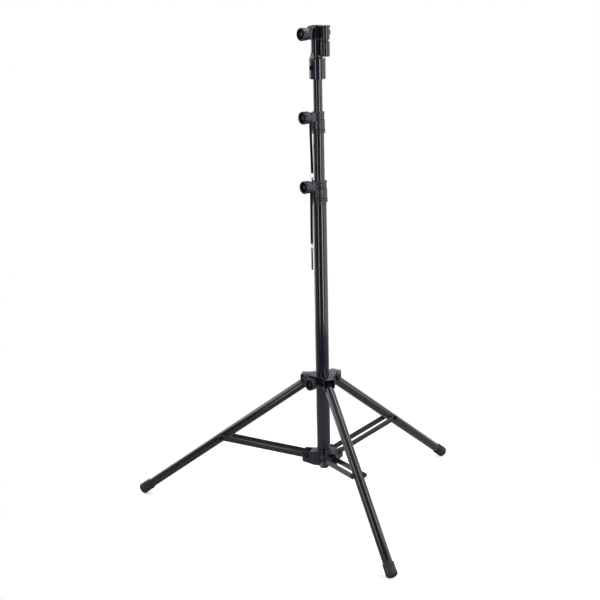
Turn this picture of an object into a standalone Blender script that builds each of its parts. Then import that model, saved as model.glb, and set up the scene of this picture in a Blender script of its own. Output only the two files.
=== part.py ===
"""Light stand: a folding three-legged base, a column of three telescoping tubes with screw-locked
collars, and a cast socket head that carries a flip-over spigot. Metres, +Z up.

The origin is on the floor under the middle of the footprint's box. Everything is laid out around
the column's axis, which the empty "stand" carries, with the front leg along -Y."""

from math import atan2, cos, hypot, pi, radians, sin

import bmesh
import bpy
from mathutils import Vector

GAP = 0.0003  # left between pieces that touch or slide on each other

COLUMN_Y = 0.1476

# Legs, seen in the vertical plane of each leg: (distance from the axis, height)
LEG_AZIMUTHS = {"front": 270.0, "right": 30.0, "left": 150.0}
LEG_PIVOT = (0.047, 0.405)
FOOT_END = (0.602, 0.0121)
LEG_OUTER = 0.01435
LEG_INNER = 0.01285
LEG_HEAD = 0.008  # tube above the pivot
TIP_LENGTH = 0.040
TIP_WALL = 0.003

# Braces run from the hub to a bolt half way down each leg
HUB_PIVOT = (0.050, 0.1660)
BRACE_SHARE = 0.502  # of the leg's length, from its pivot
BAR_HALF_HEIGHT = 0.0085
BAR_THICKNESS = 0.003
BAR_OFFSET = 0.0177  # of each bar's middle from the leg's plane
BOLT_RADIUS = 0.004
HOLE_RADIUS = 0.0043

# Crown casting that slides on the base tube
CROWN_TOP = 0.427
CROWN_SKIRT = 0.030
CROWN_REACH = 0.066
CROWN_WALL = 0.003
CROWN_SLOT = 0.0148  # half the width that the leg swings in
CROWN_SLOT_START = 0.0290
CROWN_SLEEVE = 0.0285
CROWN_SLEEVE_FOOT = 0.3855
CROWN_KNOB_AZIMUTH = 210.0
CROWN_KNOB_Z = 0.4052
CROWN_KNOB_REACH = 0.060
CROWN_KNOB_RADIUS = 0.0165
ARM_ROOT = 0.0225  # the crown's and the hub's arms start here, inside their sleeves
EDGE = 0.0013  # broken edges of the crown's sleeve

# Hub casting riveted to the foot of the base tube
HUB_FLOOR = 0.137
HUB_LIP = 0.1475  # the arms' lower edges rise to this at their ends
HUB_TOP = 0.1795
HUB_REACH = 0.064
HUB_SLOT = 0.0195
HUB_WALL = 0.003
HUB_WEB = 0.0405  # the arms are roofed as far out as this
HUB_CUP = 0.0268
HUB_CUP_RISE = 0.006  # of the cup's rim above the arms
HUB_CUP_FLOOR = 0.0045  # thickness under the tube
HUB_UNDER = HUB_FLOOR - 0.001
HUB_SLOT_START = 0.0278
PLUG_RADIUS = 0.0150
PLUG_FOOT = 0.1245

# Collars: lowest point and height, and the azimuth that their knobs share
COLLAR_HEIGHT = 0.063
LOWER_COLLAR_Z = 0.962
UPPER_COLLAR_Z = 1.167
COLLAR_SHOULDER = 0.030  # where the outer tube ends inside the collar
KNOB_DROP = 0.014  # knob axis below the collar's top
KNOB_AZIMUTH = 204.4
KNOB_RADIUS = 0.0191
KNOB_REACH = 0.063
CUP_SHARE = 0.76  # of a knob's radius
BOSS_REACH = 0.037
BOSS_HALF = 0.0120
BOSS_DROP = 0.0145  # of a boss's foot below its knob's axis
KNOB_START = BOSS_REACH + 0.001
SCREW_HOLE = (0.010, 0.045)  # where the hole for a knob's screw starts and ends
RIB_HALF = 0.0040
SPLIT_HALF = 0.0008  # of the slit that lets a collar close

# Head
SOCKET_BOTTOM = 1.326
SOCKET_WAIST = 1.384
SOCKET_RIM = 1.4755
SLEEVE_RADIUS = 0.0242
NECK_RADIUS = 0.0190
SOCKET_BORE = 0.0144
HEAD_KNOB_Z = 1.457
SPIGOT_AZIMUTH = 294.4
SPIGOT_OFFSET = 0.0354
SPIGOT_RADIUS = 0.0135
SPIGOT_FOOT = 1.391
FLANGE_RADIUS = 0.0158
FLANGE_THICKNESS = 0.005
HINGE_X = SPIGOT_OFFSET / 2
HINGE_Z = 1.4785
HINGE_RADIUS = 0.0026
HINGE_BORE = 0.0014
HINGE_PIN = 0.0011
LUG_FOOT = 1.468
LUG_HALF = 0.0018
LUG_FACES = (0.0060, 0.0100)  # of each hinge lug, across the hinge
SIDE_KNOB_AZIMUTH = 357.4
SIDE_KNOB_Z = 1.460
SIDE_KNOB_START = 0.0255
SIDE_KNOB_REACH = 0.0415
SIDE_KNOB_RADIUS = 0.0085
SIDE_SCREW_RADIUS = 0.0030
SLEEVE_BOLT_AZIMUTH = 218.2
SLEEVE_BOLT_Z = 1.3595

# Column: outer radius, inner radius, bottom and top of each tube
BASE_TUBE = (0.0205, 0.0188, 0.142, LOWER_COLLAR_Z + COLLAR_SHOULDER - GAP)
MID_TUBE = (0.0165, 0.0149, 0.340, UPPER_COLLAR_Z + COLLAR_SHOULDER - GAP)
TOP_TUBE = (0.0135, 0.0120, 0.450, SOCKET_WAIST - GAP)
BUSH_LENGTH = 0.028

# Safety pins on lanyards: each hangs from its collar's boss
LANYARD_RADIUS = 0.0025
LANYARD_STAND_OFF = 0.034
RING_RADIUS = 0.007
RING_WIRE = 0.001
EYE_RADIUS = 0.0034
EYE_WIRE = 0.0011
PIN_RADIUS = 0.0023
PIN_LENGTH = 0.060
LOWER_RING_Z = 0.830
UPPER_RING_Z = 1.037
UPPER_RING_PLACE = (0.028, 121.0)  # distance from the axis and azimuth, behind the lower collar


for old in list(bpy.data.objects):
    bpy.data.objects.remove(old)

PARTS = bpy.data.collections.new("light_stand")
CUTTERS = bpy.data.collections.new("cutters")
bpy.context.scene.collection.children.link(PARTS)
bpy.context.scene.collection.children.link(CUTTERS)


def material(name, colour, roughness, metallic):
    made = bpy.data.materials.new(name)
    made.use_nodes = True
    shader = made.node_tree.nodes["Principled BSDF"]
    shader.inputs["Base Color"].default_value = (*colour, 1.0)
    shader.inputs["Roughness"].default_value = roughness
    shader.inputs["Metallic"].default_value = metallic
    return made


BLACK_TUBE = material("black_tube", (0.020, 0.020, 0.023), 0.30, 0.0)
BLACK_CASTING = material("black_casting", (0.028, 0.028, 0.031), 0.55, 0.0)
BLACK_PLASTIC = material("black_plastic", (0.022, 0.022, 0.025), 0.45, 0.0)
BLACK_RUBBER = material("black_rubber", (0.018, 0.018, 0.018), 0.85, 0.0)
DARK_STEEL = material("dark_steel", (0.055, 0.055, 0.058), 0.35, 0.9)
BRIGHT_STEEL = material("bright_steel", (0.72, 0.72, 0.73), 0.25, 1.0)
GREY_NYLON = material("grey_nylon", (0.10, 0.10, 0.11), 0.6, 0.0)
BLACK_WEBBING = material("black_webbing", (0.015, 0.015, 0.016), 0.9, 0.0)


def empty(name, parent, location=(0, 0, 0), rotation=(0, 0, 0)):
    """A frame that pieces are parented to."""
    made = bpy.data.objects.new(name, None)
    PARTS.objects.link(made)
    made.parent = parent
    made.location = location
    made.rotation_euler = rotation
    return made


STAND = empty("stand", None, (0, COLUMN_Y, 0))


def place(name, data, parent, finish=None, location=(0, 0, 0), rotation=(0, 0, 0)):
    """A piece of the stand, or a hidden cutter where no finish is given."""
    made = bpy.data.objects.new(name, data)
    made.parent = parent
    made.location = location
    made.rotation_euler = rotation
    if finish:
        PARTS.objects.link(made)
        data.materials.append(finish)
        if isinstance(data, bpy.types.Mesh):
            data.shade_smooth()
            data.set_sharp_from_angle(angle=radians(35))
    else:
        CUTTERS.objects.link(made)
        made.hide_render = True
        made.display_type = "WIRE"
    return made


def shape(target, operation, operand):
    """Cuts target with operand, or joins the two."""
    cut = target.modifiers.new(operand.name, "BOOLEAN")
    cut.operation = operation
    cut.object = operand
    return target


def mesh_of(name, *solids):
    """One mesh that holds each of the solids, which are functions that add to a bmesh."""
    bm = bmesh.new()
    for solid in solids:
        solid(bm)
    made = bpy.data.meshes.new(name)
    bm.to_mesh(made)
    bm.free()
    return made


def box(low, high, bevel=0.0):
    """Adds a box between two corners, with its edges rounded by bevel."""
    def add(bm):
        size = Vector(high) - Vector(low)
        verts = bmesh.ops.create_cube(bm, size=1.0)["verts"]
        bmesh.ops.scale(bm, vec=size, verts=verts)
        bmesh.ops.translate(bm, vec=(Vector(low) + Vector(high)) / 2, verts=verts)
        if bevel:
            edges = {edge for vert in verts for edge in vert.link_edges}
            bmesh.ops.bevel(bm, geom=list(edges), offset=bevel, segments=2, profile=0.5, affect="EDGES")
    return add


def rod(start, end, radius, end_radius=None, segments=20):
    """Adds a round bar or a cone between two points."""
    def add(bm):
        axis = Vector(end) - Vector(start)
        turn = axis.to_track_quat("Z", "Y").to_matrix().to_4x4()
        verts = bmesh.ops.create_cone(
            bm, cap_ends=True, segments=segments, radius1=radius,
            radius2=radius if end_radius is None else end_radius, depth=axis.length)["verts"]
        bmesh.ops.transform(bm, matrix=turn, verts=verts)
        bmesh.ops.translate(bm, vec=(Vector(start) + Vector(end)) / 2, verts=verts)
    return add


def torus(name, ring_radius, wire_radius):
    """A ring about Z, turned from a circle."""
    turns = [-k * pi / 4 for k in range(8)]
    circle = [(ring_radius + wire_radius * cos(turn), wire_radius * sin(turn)) for turn in turns]
    return profile_mesh(name, circle, closed=True)


def profile_mesh(name, points, closed):
    """The outline (radius, height) that a Screw modifier turns. It runs down the outer side."""
    made = bpy.data.meshes.new(name)
    edges = [(k, k + 1) for k in range(len(points) - 1)]
    if closed:
        edges.append((len(points) - 1, 0))
    made.from_pydata([(r, 0.0, z) for r, z in points], edges, [])
    return made


def turned(name, points, parent, finish=None, closed=False, steps=32, **where):
    """A turned piece. An open outline starts and ends on the axis, and a closed one makes a ring."""
    made = place(name, profile_mesh(name, points, closed), parent, finish, **where)
    screw = made.modifiers.new("turn", "SCREW")
    screw.angle = 2 * pi
    screw.steps = screw.render_steps = steps
    screw.use_merge_vertices = True
    screw.merge_threshold = 0.00001
    screw.use_smooth_shade = True
    return made


def ring(name, outer, inner, bottom, top, parent, finish, steps=32):
    """A plain tube or bush."""
    outline = [(outer, top), (outer, bottom), (inner, bottom), (inner, top)]
    return turned(name, outline, parent, finish, closed=True, steps=steps)


def polar(radius, azimuth, height=0.0):
    return Vector((radius * cos(radians(azimuth)), radius * sin(radians(azimuth)), height))


def radial_frame(name, parent, azimuth, height):
    """A frame on the column's axis whose +Z points outward at the azimuth."""
    return empty(name, parent, (0, 0, height), (0, pi / 2, radians(azimuth)))


def in_plane(name, azimuth, *solids, finish=None):
    """Solids in the vertical plane at an azimuth: X outward, Y across, Z up."""
    return place(name, mesh_of(name, *solids), STAND, finish, rotation=(0, 0, radians(azimuth)))


def screw_hole(name, azimuth, height):
    """The hidden rod that drills the hole for a knob's screw."""
    start, end = SCREW_HOLE
    return in_plane(name, azimuth, rod((start, 0, height), (end, 0, height), HOLE_RADIUS))


def arm_blocks(name, half_width, outline):
    """The same hidden block once along every leg: an outline (distance, height) and its half width."""
    bm = bmesh.new()
    for azimuth in LEG_AZIMUTHS.values():
        near = [bm.verts.new((x, -half_width, z)) for x, z in outline]
        swept = bmesh.ops.extrude_face_region(bm, geom=[bm.faces.new(near)])["geom"]
        far = [item for item in swept if isinstance(item, bmesh.types.BMVert)]
        bmesh.ops.translate(bm, vec=(0, 2 * half_width, 0), verts=far)
        turn_about_axis(bm, near + far, azimuth)
    bmesh.ops.recalc_face_normals(bm, faces=bm.faces)
    data = bpy.data.meshes.new(name)
    bm.to_mesh(data)
    bm.free()
    return place(name, data, STAND)


def rectangle(left, right, bottom, top):
    return [(left, bottom), (right, bottom), (right, top), (left, top)]


def turn_about_axis(bm, verts, azimuth):
    a = radians(azimuth)
    for vert in verts:
        x, y, z = vert.co
        vert.co = (x * cos(a) - y * sin(a), x * sin(a) + y * cos(a), z)


def across_hole(name, distance, height, reach, radius):
    """Hidden level rods square to every leg's plane, at one distance and height."""
    bm = bmesh.new()
    for azimuth in LEG_AZIMUTHS.values():
        before = set(bm.verts)
        rod((distance, -reach, height), (distance, reach, height), radius, segments=16)(bm)
        turn_about_axis(bm, [vert for vert in bm.verts if vert not in before], azimuth)
    data = bpy.data.meshes.new(name)
    bm.to_mesh(data)
    bm.free()
    return place(name, data, STAND)


def cross_bolt(name, azimuth, distance, height, half_width, head_radius, head_height, sides):
    """A bolt or rivet that lies level through both walls of an arm, with a head at each end."""
    def across(near, far, radius, segments):
        return rod((distance, near, height), (distance, far, height), radius, segments=segments)

    end = half_width + 0.0005
    made = in_plane(name, azimuth, across(-end, end, BOLT_RADIUS, 16), finish=DARK_STEEL)
    heads = in_plane(name + "_heads", azimuth, *(
        across(sign * (half_width + GAP), sign * (half_width + head_height), head_radius, sides)
        for sign in (1, -1)))
    return shape(made, "UNION", heads)


def column_tubes():
    for name, (outer, inner, bottom, top) in (
            ("base_tube", BASE_TUBE), ("mid_tube", MID_TUBE), ("top_tube", TOP_TUBE)):
        ring(name, outer, inner, bottom, top, STAND, BLACK_TUBE, steps=32)
    for name, (outer, _, bottom, _), around in (
            ("mid_bush", MID_TUBE, BASE_TUBE), ("top_bush", TOP_TUBE, MID_TUBE)):
        ring(name, around[1] - GAP, outer + GAP, bottom, bottom + BUSH_LENGTH, STAND, GREY_NYLON,
             steps=24)


def collar(name, bottom, outer_tube, inner_tube, body_radius, mouth_radius):
    """A clamp collar: a stepped ring on the outer tube's end, with the boss that its knob screws into."""
    top = bottom + COLLAR_HEIGHT
    shoulder = bottom + COLLAR_SHOULDER
    seat = outer_tube[0] + GAP
    r = body_radius
    outline = [
        (r - 0.0012, top), (r, top - 0.0012), (r, top - 0.0050), (r - 0.0008, top - 0.0060),
        (r - 0.0008, top - 0.0210), (r + 0.0004, top - 0.0222), (r + 0.0004, bottom + 0.0125),
        (r + 0.0014, bottom + 0.0112), (r + 0.0014, bottom + 0.0012), (r + 0.0004, bottom),
        (seat, bottom), (seat, shoulder), (mouth_radius, shoulder), (mouth_radius, top)]
    made = turned(name, outline, STAND, BLACK_PLASTIC, closed=True, steps=28)
    knob_z = top - KNOB_DROP
    boss = in_plane(name + "_boss", KNOB_AZIMUTH, box(
        (mouth_radius + 0.0012, -BOSS_HALF, knob_z - BOSS_DROP), (BOSS_REACH, BOSS_HALF, top - 0.0004),
        bevel=0.0035))
    rib = in_plane(name + "_rib", KNOB_AZIMUTH, box(
        (r - 0.0012, -RIB_HALF, bottom + 0.0130), (r + 0.0040, RIB_HALF, knob_z - 0.0100)))
    hole = screw_hole(name + "_hole", KNOB_AZIMUTH, knob_z)
    split = in_plane(name + "_split", KNOB_AZIMUTH + 180, box(
        (0.010, -SPLIT_HALF, top - 0.0200), (0.040, SPLIT_HALF, top + 0.010)))
    for operation, operand in (
            ("UNION", boss), ("UNION", rib), ("DIFFERENCE", hole), ("DIFFERENCE", split)):
        shape(made, operation, operand)
    ring(name.replace("collar", "liner"), mouth_radius - GAP, inner_tube[0] + GAP, top - 0.0070,
         top + 0.0012, STAND, GREY_NYLON, steps=24)
    return knob_z


def knob(name, azimuth, height, tube_radius, reach=KNOB_REACH, radius=KNOB_RADIUS):
    """A round clamp knob with a hollow, webbed end, and the screw that it turns."""
    frame = radial_frame(name + "_frame", STAND, azimuth, height)
    start, cup, button = KNOB_START, radius * CUP_SHARE, radius * 0.30
    cup_floor = reach - 0.0095
    outline = [
        (0, reach - 0.0030), (button, reach - 0.0030), (button, cup_floor), (cup, cup_floor),
        (cup + 0.0006, reach), (radius - 0.0016, reach), (radius, reach - 0.0016), (radius, reach - 0.0085),
        (radius - 0.0012, reach - 0.0100), (radius - 0.0016, start + 0.0070),
        (radius * 0.80, start + 0.0020), (radius * 0.62, start), (0, start)]
    made = turned(name, outline, frame, BLACK_PLASTIC, steps=22)
    web = cup + 0.0008
    for k, (along, thick) in enumerate(((web, 0.0011), (0.0011, web))):
        bar = place(f"{name}_web{k}", mesh_of(name + "_web", box(
            (-along, -thick, reach - 0.0105), (along, thick, reach - 0.0042))), frame)
        shape(made, "UNION", bar)
    screw = rod((0, 0, tube_radius + 0.0005), (0, 0, start - GAP), BOLT_RADIUS - 0.0002, segments=16)
    place(name + "_screw", mesh_of(name + "_screw", screw), frame, DARK_STEEL)


def crown():
    """The casting that the legs hang in: a sleeve on the base tube with three open-bottomed arms."""
    bore, top, r = BASE_TUBE[0] + GAP, CROWN_TOP + 0.0015, CROWN_SLEEVE
    made = turned("crown", [
        (r - EDGE, top), (r, top - EDGE), (r, CROWN_SLEEVE_FOOT + 0.0015), (r - EDGE, CROWN_SLEEVE_FOOT),
        (bore, CROWN_SLEEVE_FOOT), (bore, top)], STAND, BLACK_CASTING, closed=True, steps=28)
    half = CROWN_SLOT + CROWN_WALL
    arms = rectangle(ARM_ROOT, CROWN_REACH, CROWN_TOP - CROWN_SKIRT, CROWN_TOP)
    slots = rectangle(CROWN_SLOT_START, 0.080, 0.380, CROWN_TOP - CROWN_WALL)
    shape(made, "UNION", arm_blocks("crown_arms", half, arms))
    shape(made, "DIFFERENCE", arm_blocks("crown_slots", CROWN_SLOT, slots))
    boss = in_plane("crown_boss", CROWN_KNOB_AZIMUTH, rod(
        (0.0235, 0, CROWN_KNOB_Z), (BOSS_REACH - 0.0005, 0, CROWN_KNOB_Z), 0.0125, 0.0110))
    shape(made, "UNION", boss)
    shape(made, "DIFFERENCE", screw_hole("crown_hole", CROWN_KNOB_AZIMUTH, CROWN_KNOB_Z))
    distance, height = LEG_PIVOT
    shape(made, "DIFFERENCE", across_hole("crown_bolt_holes", distance, height, 0.030, HOLE_RADIUS))
    for side, azimuth in LEG_AZIMUTHS.items():
        cross_bolt(f"crown_bolt_{side}", azimuth, distance, height, half, 0.0065, 0.0055, 6)


def hub():
    """The casting at the column's foot: a cup for the tube and three channels for the braces."""
    seat, rim, r = BASE_TUBE[0] + GAP, HUB_TOP + HUB_CUP_RISE, HUB_CUP
    tube_floor = HUB_FLOOR + HUB_CUP_FLOOR
    made = turned("hub", [
        (0, tube_floor), (seat, tube_floor), (seat, rim), (r - 0.0006, rim), (r, rim - 0.0006),
        (r, HUB_UNDER), (0, HUB_UNDER)], STAND, BLACK_CASTING, steps=28)
    half = HUB_SLOT + HUB_WALL
    shape(made, "UNION", arm_blocks("hub_arms", half, [
        (ARM_ROOT, HUB_FLOOR), (HUB_REACH, HUB_LIP), (HUB_REACH, HUB_TOP), (ARM_ROOT, HUB_TOP)]))
    roof = HUB_TOP - HUB_WALL
    start, past, below, above = HUB_SLOT_START, 0.080, 0.100, 0.190
    shape(made, "DIFFERENCE", arm_blocks("hub_slots", HUB_SLOT, [
        (start, below), (past, below), (past, above), (HUB_WEB, above), (HUB_WEB, roof), (start, roof)]))
    distance, height = HUB_PIVOT
    shape(made, "DIFFERENCE", across_hole("hub_rivet_holes", distance, height, 0.030, HOLE_RADIUS))
    for side, azimuth in LEG_AZIMUTHS.items():
        cross_bolt(f"hub_rivet_{side}", azimuth, distance, height, half, 0.0068, 0.0028, 20)
    turned("base_plug", [
        (0, HUB_UNDER - GAP), (PLUG_RADIUS, HUB_UNDER - GAP), (PLUG_RADIUS, 0.130),
        (PLUG_RADIUS - 0.0025, PLUG_FOOT), (0, PLUG_FOOT)], STAND, BLACK_RUBBER, steps=24)


def leg(side, azimuth):
    """A leg tube on its crown bolt, with its head plug and rubber tip."""
    run, drop = FOOT_END[0] - LEG_PIVOT[0], LEG_PIVOT[1] - FOOT_END[1]
    length = hypot(run, drop)
    spread = atan2(run, drop)
    frame = empty(f"leg_{side}", STAND, polar(LEG_PIVOT[0], azimuth, LEG_PIVOT[1]),
                  (0, -spread, radians(azimuth)))
    bolt_hole = place(f"leg_{side}_hole", mesh_of("leg_hole", rod(
        (0, -0.030, 0), (0, 0.030, 0), HOLE_RADIUS, segments=16)), frame)
    tube = ring(f"leg_{side}_tube", LEG_OUTER, LEG_INNER, 0.006 - length, LEG_HEAD, frame, BLACK_TUBE,
                steps=24)
    shape(tube, "DIFFERENCE", bolt_hole)
    fit = LEG_INNER - GAP
    plug = turned(f"leg_{side}_plug", [
        (0, LEG_HEAD - 0.001), (fit, LEG_HEAD - 0.001), (fit, -0.028), (fit - 0.002, -0.031), (0, -0.031)],
        frame, GREY_NYLON, steps=16)
    shape(plug, "DIFFERENCE", bolt_hole)
    grip, sole = LEG_OUTER + GAP, LEG_OUTER + TIP_WALL
    top = TIP_LENGTH - length
    tip = turned(f"leg_{side}_tip", [
        (sole - 0.0016, top), (sole - 0.0004, top - 0.0018), (sole - 0.0004, top - 0.0180),
        (sole - 0.0014, top - 0.0190), (sole - 0.0014, top - 0.0215), (sole, top - 0.0225),
        (sole, 0.0030 - length), (sole - 0.0024, -length), (0, -length), (0, 0.0056 - length),
        (grip, 0.0056 - length), (grip, top)], frame, BLACK_RUBBER, closed=True, steps=20)
    floor = place(f"leg_{side}_floor", mesh_of("floor", box((-0.9, -0.9, -0.1), (0.9, 0.9, 0.0))), STAND)
    shape(tip, "DIFFERENCE", floor)


def arc(centre, radius, start, end, steps):
    """Points on an arc, from one angle in degrees to another."""
    angles = [radians(start + (end - start) * k / steps) for k in range(steps + 1)]
    return [(centre[0] + radius * cos(a), centre[1] + radius * sin(a)) for a in angles]


def flat_bar(name, length, parent, offset):
    """A flat steel bar with round ends and an eye at each end, upright in the leg's plane."""
    data = bpy.data.curves.new(name, "CURVE")
    data.dimensions = "2D"
    data.fill_mode = "BOTH"
    data.extrude = BAR_THICKNESS / 2
    r = BAR_HALF_HEIGHT
    outline = arc((0, 0), r, 90, 270, 7) + arc((length, 0), r, -90, 90, 7)
    eyes = [arc((x, 0), HOLE_RADIUS, 0, 330, 11) for x in (0, length)]
    for points in (outline, *eyes):
        spline = data.splines.new("POLY")
        spline.points.add(len(points) - 1)
        spline.use_cyclic_u = True
        for point, (x, y) in zip(spline.points, points):
            point.co = (x, y, 0, 1)
    return place(name, data, parent, BLACK_TUBE, (0, offset, 0), (pi / 2, 0, 0))


def brace(side, azimuth):
    """Two flat bars that straddle the leg, and the two bolts at its sides."""
    share = BRACE_SHARE
    end = tuple(LEG_PIVOT[k] + (FOOT_END[k] - LEG_PIVOT[k]) * share for k in range(2))
    run, rise = end[0] - HUB_PIVOT[0], end[1] - HUB_PIVOT[1]
    length = hypot(run, rise)
    frame = empty(f"brace_{side}", STAND, polar(HUB_PIVOT[0], azimuth, HUB_PIVOT[1]),
                  (0, -atan2(rise, run), radians(azimuth)))
    for hand, sign in (("l", 1), ("r", -1)):
        flat_bar(f"brace_{side}_bar_{hand}", length, frame, sign * BAR_OFFSET)
    outside = BAR_OFFSET + BAR_THICKNESS / 2
    inside = LEG_OUTER + 0.0005
    for end_name, sign, sides in (("bolt", 1, 20), ("nut", -1, 6)):
        name = f"brace_{side}_{end_name}"
        stub = place(name, mesh_of(name, rod(
            (length, sign * inside, 0), (length, sign * (outside + 0.001), 0), BOLT_RADIUS, segments=16)),
            frame, DARK_STEEL)
        head = place(name + "_head", mesh_of(name + "_head", rod(
            (length, sign * (outside + GAP), 0), (length, sign * (outside + 0.0058), 0), 0.0065,
            segments=sides)), frame)
        shape(stub, "UNION", head)


def socket_casting():
    """The socket on the top tube, with the bosses of its two clamp screws and the hinge's lugs."""
    seat, sleeve, neck = TOP_TUBE[0] + GAP, SLEEVE_RADIUS, NECK_RADIUS
    socket_floor = SOCKET_WAIST + 0.006
    made = turned("head_socket", [
        (0, socket_floor), (SOCKET_BORE, socket_floor), (SOCKET_BORE, SOCKET_RIM),
        (neck - 0.0008, SOCKET_RIM), (neck, SOCKET_RIM - 0.0008), (neck, SOCKET_WAIST + 0.014),
        (sleeve - 0.002, SOCKET_WAIST + 0.001), (sleeve, SOCKET_WAIST - 0.001),
        (sleeve, SOCKET_BOTTOM + 0.0012), (sleeve - 0.0012, SOCKET_BOTTOM), (seat, SOCKET_BOTTOM),
        (seat, SOCKET_WAIST), (0, SOCKET_WAIST)], STAND, BLACK_CASTING, steps=32)
    boss = in_plane("head_boss", KNOB_AZIMUTH, box(
        (SOCKET_BORE + 0.0020, -0.0125, HEAD_KNOB_Z - 0.0160), (BOSS_REACH, 0.0125, SOCKET_RIM + 0.0045),
        bevel=0.0050))
    hole = screw_hole("head_hole", KNOB_AZIMUTH, HEAD_KNOB_Z)
    side_boss = in_plane("side_boss", SIDE_KNOB_AZIMUTH, rod(
        (SOCKET_BORE + 0.002, 0, SIDE_KNOB_Z), (SIDE_KNOB_START - GAP, 0, SIDE_KNOB_Z), 0.0078, 0.0070))
    side_hole = in_plane("side_hole", SIDE_KNOB_AZIMUTH, rod(
        (0.010, 0, SIDE_KNOB_Z), (0.030, 0, SIDE_KNOB_Z), SIDE_SCREW_RADIUS + GAP, segments=14))
    near, far = LUG_FACES
    lugs = in_plane("hinge_lugs", SPIGOT_AZIMUTH, *(
        box((HINGE_X - LUG_HALF, low, LUG_FOOT), (HINGE_X + LUG_HALF, high, HINGE_Z))
        for low, high in ((near, far), (-far, -near))))
    barrels = in_plane("hinge_barrels", SPIGOT_AZIMUTH, *(
        hinge_rod(sign * (near + 0.0002), sign * (far + 0.0002), HINGE_RADIUS, 14) for sign in (1, -1)))
    for operation, operand in (
            ("UNION", boss), ("DIFFERENCE", hole), ("UNION", side_boss), ("DIFFERENCE", side_hole),
            ("UNION", lugs), ("UNION", barrels), ("DIFFERENCE", hinge_bore("socket"))):
        shape(made, operation, operand)


def hinge_rod(start, end, radius, segments=12):
    """Adds a rod along the spigot's hinge."""
    return rod((HINGE_X, start, HINGE_Z), (HINGE_X, end, HINGE_Z), radius, segments=segments)


def hinge_bore(name):
    return in_plane(name + "_bore", SPIGOT_AZIMUTH, hinge_rod(-0.014, 0.014, HINGE_BORE))


def flip_over_spigot():
    """The spigot that hangs beside the socket and flips over onto it, and its hinge pin."""
    top = HINGE_Z + 0.0027
    under = top - FLANGE_THICKNESS
    waist = (under + SPIGOT_FOOT) / 2
    r, flange = SPIGOT_RADIUS, FLANGE_RADIUS
    groove = r - 0.0022
    made = turned("spigot", [
        (0, top), (flange - 0.0008, top), (flange, top - 0.0008), (flange, under), (r, under),
        (r, waist + 0.0045), (groove, waist + 0.0028), (groove, waist - 0.0028), (r, waist - 0.0045),
        (r, SPIGOT_FOOT + 0.0030), (r - 0.0030, SPIGOT_FOOT), (0, SPIGOT_FOOT)], STAND, BLACK_CASTING,
        steps=28, location=polar(SPIGOT_OFFSET, SPIGOT_AZIMUTH))
    knuckle = in_plane("spigot_knuckle", SPIGOT_AZIMUTH, box(
        (HINGE_X + 0.0006, -0.0056, HINGE_Z - 0.0016), (SPIGOT_OFFSET - 0.004, 0.0056, HINGE_Z + 0.0024)))
    barrel = in_plane("spigot_barrel", SPIGOT_AZIMUTH, hinge_rod(-0.0054, 0.0054, HINGE_RADIUS, 14))
    shape(shape(made, "UNION", knuckle), "UNION", barrel)
    shape(made, "DIFFERENCE", hinge_bore("spigot"))
    in_plane("hinge_pin", SPIGOT_AZIMUTH, hinge_rod(-0.0108, 0.0108, HINGE_PIN), finish=BRIGHT_STEEL)


def head():
    """The cast socket on the top tube, its screws, and the spigot hinged to its rim."""
    socket_casting()
    flip_over_spigot()
    side_frame = radial_frame("side_knob_frame", STAND, SIDE_KNOB_AZIMUTH, SIDE_KNOB_Z)
    r, start, reach, screw = SIDE_KNOB_RADIUS, SIDE_KNOB_START, SIDE_KNOB_REACH, SIDE_SCREW_RADIUS
    screw_end = SOCKET_BORE + 0.0005
    turned("side_knob", [
        (0, reach), (r - 0.0015, reach), (r, reach - 0.0015), (r, start + 0.0030), (r - 0.0025, start),
        (screw, start), (screw, screw_end), (0, screw_end)], side_frame, DARK_STEEL, steps=20)
    bolt_frame = radial_frame("sleeve_bolt_frame", STAND, SLEEVE_BOLT_AZIMUTH, SLEEVE_BOLT_Z)
    bolt_head = rod((0, 0, SLEEVE_RADIUS + GAP), (0, 0, SLEEVE_RADIUS + 0.0065), 0.0080, segments=24)
    socket = rod((0, 0, SLEEVE_RADIUS + 0.0030), (0, 0, SLEEVE_RADIUS + 0.010), 0.0042, segments=6)
    bolt = place("sleeve_bolt", mesh_of("sleeve_bolt", bolt_head), bolt_frame, DARK_STEEL)
    recess = place("sleeve_bolt_recess", mesh_of("recess", socket), bolt_frame)
    shape(bolt, "DIFFERENCE", recess)


def screw_turn(made, steps):
    screw = made.modifiers.new("turn", "SCREW")
    screw.angle = 2 * pi
    screw.steps = screw.render_steps = steps
    screw.use_merge_vertices = True
    screw.merge_threshold = 0.00001


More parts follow.
